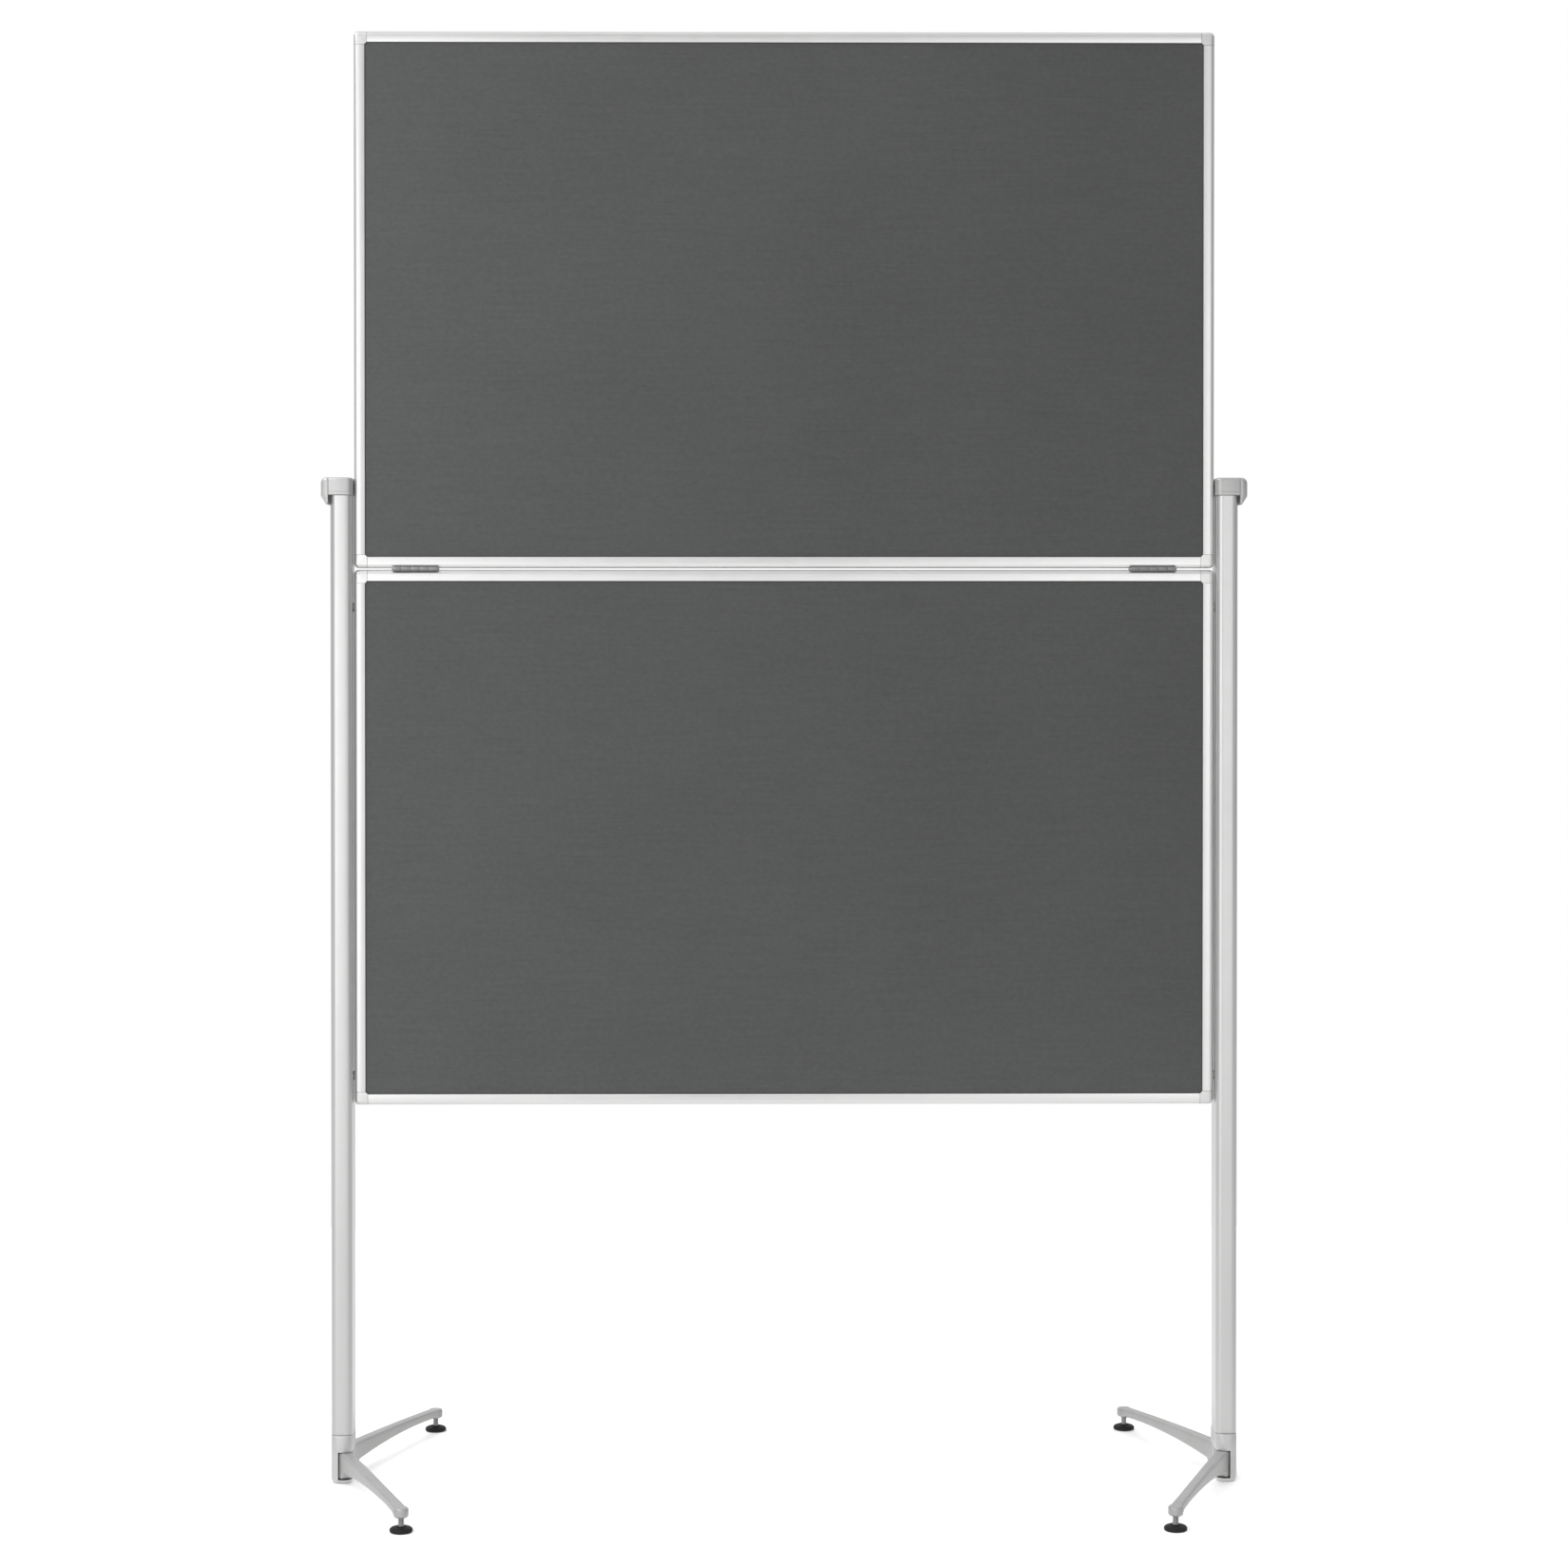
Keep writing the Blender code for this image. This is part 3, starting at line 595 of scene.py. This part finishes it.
TOP_R = 0.004
for side, sign in (("left", -1), ("right", 1)):
    # The head: a cap with rounded inboard corners, square where the knob meets it
    name = f"head_{side}"
    low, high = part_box(name)
    near, far = sorted((abs(low.x), abs(high.x)))
    half_y = (high.y - low.y) / 2
    base = high.z - 0.0245

    def cap_outline(inset):
        corners = [
            (near + inset, -half_y + inset), (far, -half_y + inset),
            (far, half_y - inset), (near + inset, half_y - inset),
        ]
        return rounded(corners, [0.008 - inset, 0.0006, 0.0006, 0.008 - inset], 9)

    groove = base + 0.0045
    levels = quarter(base, 0.0012, True, 3)[::-1]
    levels += [(groove - 0.0005, 0.0), (groove - 0.00025, 0.00035), (groove + 0.00025, 0.00035), (groove + 0.0005, 0.0)]
    levels += quarter(high.z, TOP_R, False, 9)
    bm = bmesh.new()
    tube(bm, [[(sign * x, y, z) for x, y in cap_outline(inset)] for z, inset in levels])
    cap = finish_mesh(f"{name}_cap", bm, M["head"], 40)
    knob_low, knob_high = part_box(f"latch_knob_{side}")
    axis_z = high.z - 0.0125
    bm = bmesh.new()
    tube(bm, [
        [(sign * x, 0.0044 * math.cos(t), axis_z + 0.0044 * math.sin(t))
         for t in np.linspace(0, 2 * math.pi, 33)[:-1]]
        for x in (near - 0.01, far + 0.01)
    ])
    carve(cap, [finish_mesh("bore", bm, M["head"])])
    cap.data.shade_smooth()
    cap.data.set_sharp_from_angle(angle=math.radians(40))
    place(cap, "stand", "head_casting", name)

    # The knob carries the cap's outline on, with a lobe that hangs below it
    name = f"latch_knob_{side}"
    low, high = knob_low, knob_high
    nose = min(abs(low.x), abs(high.x))
    inner_x = nose + 0.0336
    thick = max(abs(low.x), abs(high.x)) - inner_x
    round_r = 0.008
    half_d = (high.y - low.y) / 2
    ends = []
    for k in range(15):
        y = half_d - round_r * (1 - math.sin(math.pi / 2 * k / 14))
        side_in = round_r - math.sqrt(max(0, round_r**2 - (y - half_d + round_r) ** 2))
        over = max(0, y - half_d + TOP_R)
        top_in = TOP_R - math.sqrt(max(0, TOP_R**2 - over**2))
        ends.append((y, side_in, top_in))
    slices = [(-e[0], e[1], e[2]) for e in ends[::-1]] + ends
    loops = []
    for y, side_in, top_in in slices:
        out = thick - side_in
        top, bottom = high.z - top_in, low.z + top_in
        corner_r = max(0.00105, min(round_r, out - 0.0012))
        points = [
            (0, top), (out, top), (out, bottom + 0.0115),
            (min(0.0025, out * 0.8), bottom), (0, bottom),
        ]
        radii = [0.00095, corner_r, min(0.0050, corner_r), 0.00105, 0.00095]
        loops.append([(sign * (inner_x + x), y, z) for x, z in rounded(points, radii, 9)])
    bm = bmesh.new()
    tube(bm, loops)
    knob = finish_mesh(f"{name}_grip", bm, M["head"], 40)
    # The plunger, with a domed nose
    plunger_r = 0.004
    rings = []
    for d, r in ((0.0, 0.0016), (0.0005, 0.0028), (0.0012, 0.0036), (0.0022, plunger_r), (0.0336 + 0.003, plunger_r)):
        rings.append([
            (sign * (nose + d), r * math.cos(t), axis_z + r * math.sin(t))
            for t in np.linspace(0, 2 * math.pi, 33)[:-1]
        ])
    bm = bmesh.new()
    tube(bm, rings)
    plunger = finish_mesh(f"{name}_plunger", bm, M["steel"], 40)
    place(knob, f"latch_{side}", "head_casting", name)
    place(plunger, f"latch_{side}", "steel")


# -------------------------------------------------------------------- hubs
HUB_R = 0.0125
SOCKET_R = 0.0127
for side, sign in (("left", -1), ("right", 1)):
    name = f"hub_{side}"
    low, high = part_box(name)
    centre = ((low.x + high.x) / 2, 0.0)
    hx, hy = (high.x - low.x) / 2, (high.y - low.y) / 2
    top, bottom = 0.066, low.z

    def outline_of(inset):
        return rounded_box(hx - inset, hy - inset, HUB_R - inset, 9)

    bm = bmesh.new()
    levels = quarter(bottom, 0.0045, True, 6)[::-1]
    levels += [(0.027, 0.0), (0.049, 0.0)] + quarter(top, 0.0012, False, 3)
    stack(bm, centre, outline_of, levels)
    hub = finish_mesh(f"{name}_casting", bm, M["hub"], 40)
    cutters = []
    for way in (-1, 1):
        xs = sorted((sign * 0.590, sign * 0.6215))
        ys = sorted((way * 0.0033, way * 0.045))
        bm = bmesh.new()
        bmesh.ops.create_cube(bm, size=1.0)
        for v in bm.verts:
            v.co = Vector((
                xs[0] if v.co.x < 0 else xs[1],
                ys[0] if v.co.y < 0 else ys[1],
                0.0055 if v.co.z < 0 else 0.044,
            ))
        cutters.append(finish_mesh(f"bay_{way}", bm, M["hub"]))
        end = "front" if way < 0 else "rear"
        pin_low, pin_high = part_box(f"{end}_{side}_pivot_pin")
        pin = (pin_low + pin_high) / 2
        bm = bmesh.new()
        tube(bm, [
            [(pin.x + SOCKET_R * math.cos(t), pin.y + SOCKET_R * math.sin(t), z)
             for t in np.linspace(0, 2 * math.pi, 49)[:-1]]
            for z in (0.0055, 0.044)
        ])
        cutters.append(finish_mesh(f"socket_{way}", bm, M["hub"]))
    carve(hub, cutters)
    round_off = hub.modifiers.new("edges", "BEVEL")
    round_off.width, round_off.segments = 0.0007, 2
    round_off.limit_method, round_off.angle_limit = "ANGLE", math.radians(50)
    round_off.use_clamp_overlap = True
    apply_modifiers(hub)
    hub.data.shade_smooth()
    hub.data.set_sharp_from_angle(angle=math.radians(40))
    place(hub, "stand", "arm_casting", name)


# -------------------------------------------------------------------- arms
ARM_W, KNUCKLE_R, BOSS_R = 0.016, 0.012, 0.010


def through(points, x):
    total = 0
    for i, (xi, zi) in enumerate(points):
        term = zi
        for j, (xj, _) in enumerate(points):
            if j != i:
                term *= (x - xj) / (xi - xj)
        total += term
    return total


def ease(x, a, b):
    t = min(1, max(0, (x - a) / (b - a)))
    return t * t * (3 - 2 * t)


def arm_mesh(length):
    """An arm along +x from its pivot: two round ends joined by an arched bar."""
    top_line = ((0.006, 0.0432), (0.140, 0.0399), (length, 0.0328))
    low_line = ((0.006, 0.0150), (0.140, 0.0244), (length, 0.0212))

    def top(x):
        return inset_curve(ease(x, 0.010, 0.020), 0.0435, through(top_line, max(x, 0)))

    def low(x):
        bar = through(low_line, max(x, 0))
        bar = inset_curve(ease(x, 0.0105, 0.024), 0.0066, bar)
        return inset_curve(ease(x, length - 0.020, length - 0.009), bar, 0.0195)

    def half_width(x):
        """The outline seen from above."""
        wide = 0.0
        if x < KNUCKLE_R:
            wide = math.sqrt(max(0, KNUCKLE_R**2 - x**2))
        if x > length - BOSS_R:
            wide = math.sqrt(max(0, BOSS_R**2 - (x - length) ** 2))
        bar = 0.0
        if 0 <= x <= length:
            bar = ARM_W / 2 + 0.0030 * math.exp(-max(0, x - 0.006) / 0.010)
            bar -= 0.0008 * ease(x, 0.02, length * 0.6) * (1 - ease(x, length * 0.75, length))
        return max(wide, bar)

    xs = []
    for k in range(13):
        xs.append(-KNUCKLE_R * math.cos(math.pi / 2 * k / 12))
    xs += list(np.linspace(0.002, 0.030, 12))
    xs += list(np.linspace(0.040, length - 0.030, 18))
    xs += list(np.linspace(length - 0.024, length - 0.001, 10))
    for k in range(13):
        xs.append(length + BOSS_R * math.sin(math.pi / 2 * k / 12))
    outline = [(x, half_width(x)) for x in xs]
    count = len(outline)
    # Closed loop: the near side out, the far side back
    loop2d = [(x, -w) for x, w in outline] + [(x, w) for x, w in outline[-2:0:-1]]
    loop2d = [np.array(p) for p in loop2d]
    size = len(loop2d)
    normals = []
    for i in range(size):
        d = loop2d[(i + 1) % size] - loop2d[i - 1]
        d /= np.linalg.norm(d)
        normals.append(np.array([-d[1], d[0]]))  # to the inside
    edge = 0.0032
    rings = []
    steps = 6
    for k in range(steps + 1):  # the underside's rounding, from its flat to the side
        a = math.pi / 2 * k / steps
        rings.append(("low", edge * (1 - math.sin(a)), edge * (1 - math.cos(a))))
    rings.append(("mix", 0.0, 0.33))
    rings.append(("mix", 0.0, 0.66))
    for k in range(steps + 1):
        a = math.pi / 2 * k / steps
        rings.append(("top", edge * (1 - math.cos(a)), edge * (1 - math.sin(a))))
    loops = []
    for kind, inset, off in rings:
        loop = []
        for p, n in zip(loop2d, normals):
            q = p + n * inset
            x = min(max(q[0], -KNUCKLE_R), length + BOSS_R)
            lo, hi = low(x), top(x)
            if kind == "low":
                z = lo + off
            elif kind == "top":
                z = hi - off
            else:
                z = lo + edge + (hi - lo - 2 * edge) * off
            loop.append((q[0], q[1], z))
        loops.append(loop)
    bm = bmesh.new()
    made = tube(bm, loops, cap_start=False, cap_end=False)
    for ring, flip in ((made[0], True), (made[-1], False)):
        for i in range(1, count - 1):
            a, b = ring[i], ring[i + 1] if i + 1 < count else None
            far_a = ring[(size - i) % size]
            far_b = ring[(size - i - 1) % size]
            if i == count - 2:
                face = (a, ring[count - 1], far_a)
            else:
                face = (a, ring[i + 1], far_b, far_a)
            bm.faces.new(face[::-1] if flip else face)
        face = (ring[0], ring[1], ring[size - 1])
        bm.faces.new(face[::-1] if flip else face)
    return bm


def turned(bm, at, profile, sides=40, cap=True):
    """A turned shape from (radius, height) pairs, bottom to top."""
    rings = []
    for r, z in profile:
        r = max(r, 1e-5)
        rings.append([
            (at[0] + r * math.cos(t), at[1] + r * math.sin(t), z)
            for t in np.linspace(0, 2 * math.pi, sides + 1)[:-1]
        ])
    tube(bm, rings, cap, cap)


def threaded(bm, at, low, high, radius, pitch=0.00125, depth=0.00062, sides=28):
    """A rod with a real helical thread, tapering in at both ends."""
    per_turn = 8
    rows = int((high - low) / pitch * per_turn)
    rings = []
    for k in range(rows + 1):
        z = low + (high - low) * k / rows
        fade = min(1.0, (z - low) / 0.0008, (high - z) / 0.0008)
        ring = []
        for i in range(sides):
            phase = (z / pitch - i / sides) % 1.0
            tooth = abs(phase - 0.5) * 2
            tooth = min(1.0, max(0.0, (tooth - 0.12) / 0.76))
            r = radius - depth * (1 - tooth)
            r = radius - depth - 0.0002 + (r - radius + depth + 0.0002) * max(fade, 0.0)
            t = 2 * math.pi * i / sides
            ring.append((at[0] + r * math.cos(t), at[1] + r * math.sin(t), z))
        rings.append(ring)
    tube(bm, rings)


for side, sign in (("left", -1), ("right", 1)):
    for end, way in (("front", -1), ("rear", 1)):
        key = f"{end}_{side}"
        pin_low, pin_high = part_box(f"{key}_pivot_pin")
        pad_low, pad_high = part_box(f"{key}_foot_pad")
        pivot = (pin_low + pin_high) / 2
        foot = (pad_low + pad_high) / 2
        reach = Vector((foot.x - pivot.x, foot.y - pivot.y, 0))
        bm = arm_mesh(reach.length)
        turn = Matrix.Translation((pivot.x, pivot.y, 0)) @ Matrix.Rotation(
            math.atan2(reach.y, reach.x), 4, "Z"
        )
        bmesh.ops.transform(bm, matrix=turn, verts=bm.verts)
        arm = finish_mesh(f"{key}_arm_casting", bm, M["arm"], 45)
        place(arm, f"{key}_leg", "arm_casting", f"{key}_arm")

        # Foot: a domed pad with a rim, a collar for the stem and a tread below
        r = (pad_high.x - pad_low.x) / 2
        h = pad_high.z
        profile = [
            (r - 0.0020, 0.0), (r - 0.0012, 0.0002), (r - 0.0005, 0.0008), (r - 0.0001, 0.0017),
            (r, 0.0027), (r - 0.0001, 0.0037), (r - 0.0004, 0.0045), (r - 0.0010, 0.0052),
            (r - 0.0020, 0.0059), (r - 0.0035, 0.0065), (r - 0.0056, 0.0070), (0.0078, 0.0074),
            (0.0070, 0.0077), (0.0067, 0.0080), (0.0064, h - 0.0002), (0.0057, h), (0.0046, h - 0.0002),
            (0.0043, h - 0.0010), (0.0040, h - 0.0028),
        ]
        bm = bmesh.new()
        turned(bm, foot, profile, 48)
        pad = finish_mesh(f"{key}_pad", bm, M["rubber"], 40)
        place(pad, f"{key}_foot", "foot_rubber", f"{key}_foot_pad")

        stem_low, stem_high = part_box(f"{key}_levelling_stem")
        bm = bmesh.new()
        threaded(bm, foot, stem_low.z, stem_high.z, (stem_high.x - stem_low.x) / 2)
        stem = finish_mesh(f"{key}_thread", bm, M["steel"], 60)
        place(stem, f"{key}_foot", "steel", f"{key}_levelling_stem")

        pin = NODES[f"{key}_pivot_pin"]
        pin.data.materials.clear()
        pin.data.materials.append(M["steel"])


# ------------------------------------------------------------------ hinges
def bar_x(bm, x0, x1, y, z, r, sides=28, edge=0.00035):
    rings = []
    for x, rr in ((x0, r - edge), (x0 + edge * 0.4, r - edge * 0.3), (x0 + edge, r),
                  (x1 - edge, r), (x1 - edge * 0.4, r - edge * 0.3), (x1, r - edge)):
        rings.append([
            (x, y + rr * math.cos(t), z + rr * math.sin(t))
            for t in np.linspace(0, 2 * math.pi, sides + 1)[:-1]
        ])
    tube(bm, rings)


def slab(bm, low, high, edge=0.0003):
    made = bmesh.ops.create_cube(bm, size=1.0)["verts"]
    for v in made:
        v.co = Vector(tuple(low[i] if v.co[i] < 0 else high[i] for i in range(3)))
    rims = list({e for v in made for e in v.link_edges})
    bmesh.ops.bevel(bm, geom=rims, offset=edge, segments=2, profile=0.5, affect="EDGES")


for side in ("left", "right"):
    pin_low, pin_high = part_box(f"hinge_pin_{side}")
    axis_y, axis_z = (pin_low.y + pin_high.y) / 2, (pin_low.z + pin_high.z) / 2
    for level, body, own in (("lower", "stand", (0, 2, 4)), ("upper", "upper_panel", (1, 3))):
        name = f"hinge_{level}_leaf_{side}"
        low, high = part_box(name)
        span = high.x - low.x if level == "lower" else pin_high.x - pin_low.x - 0.0012
        start = (pin_low.x + pin_high.x) / 2 - 0.032
        gap = 0.0005
        seg = (0.064 - 4 * gap) / 5
        plate = (axis_z - 0.00115, axis_z - 0.00025) if level == "lower" else (
            axis_z + 0.00025, axis_z + 0.00115)
        bm = bmesh.new()
        slab(bm, (start, axis_y + 0.0034, plate[0]), (start + 0.064, high.y, plate[1]))
        for i in own:
            x0 = start + i * (seg + gap)
            bar_x(bm, x0, x0 + seg, axis_y, axis_z, 0.0026)
            slab(bm, (x0, axis_y + 0.0009, plate[0]), (x0 + seg, axis_y + 0.0045, plate[1]))
        leaf = finish_mesh(f"{name}_steel", bm, M["hinge"], 35)
        place(leaf, body, "hinge_metal", name)
    bm = bmesh.new()
    bar_x(bm, pin_low.x, pin_high.x, axis_y, axis_z, 0.0011, 20, 0.0004)
    pin = finish_mesh(f"hinge_pin_{side}_wire", bm, M["steel"], 35)
    place(pin, "stand", "steel", f"hinge_pin_{side}")

for name, obj in NODES.items():
    if name.startswith("panel_bolt"):
        obj.data.materials.clear()
        obj.data.materials.append(M["steel"])
    if name.startswith("spacer_bush"):
        obj.data.materials.clear()
        obj.data.materials.append(M["bush"])


# ============================================================ studio, camera
bm = bmesh.new()
bmesh.ops.create_grid(bm, x_segments=8, y_segments=8, size=1.0)
for v in bm.verts:
    v.co = Vector((v.co.x * 2.2, 0.64 + v.co.y * 1.26, 0.0))
floor_mesh = bpy.data.meshes.new("floor")
bm.to_mesh(floor_mesh)
bm.free()
floor = bpy.data.objects.new("floor", floor_mesh)
bpy.context.scene.collection.objects.link(floor)
n = Nodes("floor_paint")
n.put("Base Color", n.tint(n.spread(n.noise((1.4, 1.4, 1.4), 2.0), 0, 1), (0.90, 0.90, 0.90), (0.92, 0.92, 0.92)))
n.put("Roughness", 0.9)
n.put("Specular IOR Level", 0.1)
floor.data.materials.append(n.mat)
floor.visible_glossy = False


def studio_world():
    """White behind the object; a soft studio of greys, bright overhead, for the light."""
    world = bpy.data.worlds.new("studio")
    bpy.context.scene.world = world
    world.use_nodes = True
    tree = world.node_tree
    tree.nodes.clear()

    def ramp(value, start, stop, low, high):
        node = tree.nodes.new("ShaderNodeMapRange")
        node.interpolation_type = "SMOOTHSTEP"
        for key, number in (("From Min", start), ("From Max", stop), ("To Min", low), ("To Max", high)):
            node.inputs[key].default_value = number
        tree.links.new(value, node.inputs["Value"])
        return node.outputs["Result"]

    def calc(kind, a, b):
        node = tree.nodes.new("ShaderNodeMath")
        node.operation = kind
        for socket, value in zip(node.inputs, (a, b)):
            if isinstance(value, (int, float)):
                socket.default_value = value
            else:
                tree.links.new(value, socket)
        return node.outputs["Value"]

    coord = tree.nodes.new("ShaderNodeTexCoord")
    axes = tree.nodes.new("ShaderNodeSeparateXYZ")
    tree.links.new(coord.outputs["Generated"], axes.inputs["Vector"])
    x, y, z = (axes.outputs[k] for k in "XYZ")
    ahead = ramp(y, -0.9, -0.25, W_FRONT, W_SIDE)
    behind = ramp(y, 0.25, 0.8, 0.0, W_BACK - W_SIDE)
    around = calc("ADD", calc("ADD", ahead, behind), ramp(x, -1, 1, W_LEFT, W_RIGHT))
    below = ramp(z, -0.25, -0.02, W_LOW, 0.0)
    level = calc("ADD", calc("ADD", around, ramp(z, 0.60, 0.82, 0.0, W_TOP)), below)
    # Reflections see a dimmer ceiling than the one that lights the felt and the floor
    mirror = calc("ADD", calc("ADD", around, ramp(z, 0.30, 0.75, 0.0, G_TOP)), ramp(z, -0.30, -0.02, G_LOW, 0.0))
    path = tree.nodes.new("ShaderNodeLightPath")
    kind = tree.nodes.new("ShaderNodeMix")
    tree.links.new(path.outputs["Is Glossy Ray"], kind.inputs["Factor"])
    tree.links.new(level, kind.inputs["A"])
    tree.links.new(mirror, kind.inputs["B"])
    level = kind.outputs["Result"]
    seen = tree.nodes.new("ShaderNodeMix")
    tree.links.new(path.outputs["Is Camera Ray"], seen.inputs["Factor"])
    tree.links.new(level, seen.inputs["A"])
    seen.inputs["B"].default_value = 1.0
    back = tree.nodes.new("ShaderNodeBackground")
    back.inputs["Color"].default_value = (1, 1, 1, 1)
    tree.links.new(seen.outputs["Result"], back.inputs["Strength"])
    out = tree.nodes.new("ShaderNodeOutputWorld")
    tree.links.new(back.outputs["Background"], out.inputs["Surface"])


W_FRONT, W_SIDE, W_BACK, W_LEFT, W_RIGHT, W_TOP, W_LOW = 0.50, 0.45, 0.72, 0.05, -0.10, 2.0, -0.05
G_TOP, G_LOW = 0.24, 0.44
studio_world()


def softbox(name, azimuth, distance, height, size, radiance, aim=(0.0, 0.0, 1.1)):
    """A rectangular light; azimuth in degrees from the front, positive to the right."""
    data = bpy.data.lights.new(name, "AREA")
    data.shape = "RECTANGLE"
    data.size, data.size_y = size
    data.energy = radiance * math.pi * size[0] * size[1]
    lamp = bpy.data.objects.new(name, data)
    bpy.context.scene.collection.objects.link(lamp)
    a = math.radians(azimuth)
    lamp.location = (distance * math.sin(a), -distance * math.cos(a), height)
    lamp.rotation_euler = (Vector(aim) - lamp.location).to_track_quat("-Z", "Y").to_euler()
    lamp.visible_camera = False
    return lamp


softbox("strip_left", -25, 4.6, 1.3, (2.2, 2.8), 1.27)
softbox("strip_right", 16.5, 4.6, 1.3, (1.1, 2.8), 1.04)
softbox("key_high", -58, 2.3, 3.3, (1.1, 1.1), 6.0, (0, 0, 1.3))
side_fill = softbox("side_fill", -65, 1.9, 1.45, (0.5, 1.8), 5.0, (0, 0, 1.2))
side_fill.visible_glossy = False

cam_data = bpy.data.cameras.new("camera")
camera = bpy.data.objects.new("camera", cam_data)
bpy.context.scene.collection.objects.link(camera)
bpy.context.scene.camera = camera
cam_data.sensor_width = 36.0
cam_data.lens = 74.64
cam_data.shift_x = 0.0282
cam_data.shift_y = -0.080
cam_data.dof.use_dof = False
camera.location = (-0.1019, -4.5462, 1.1947)
camera.rotation_euler = (
    Matrix.Rotation(math.radians(-0.5), 4, "Z")
    @ Matrix.Rotation(math.radians(90 - 0.585), 4, "X")
).to_euler()
bpy.context.scene.view_settings.view_transform = "Standard"
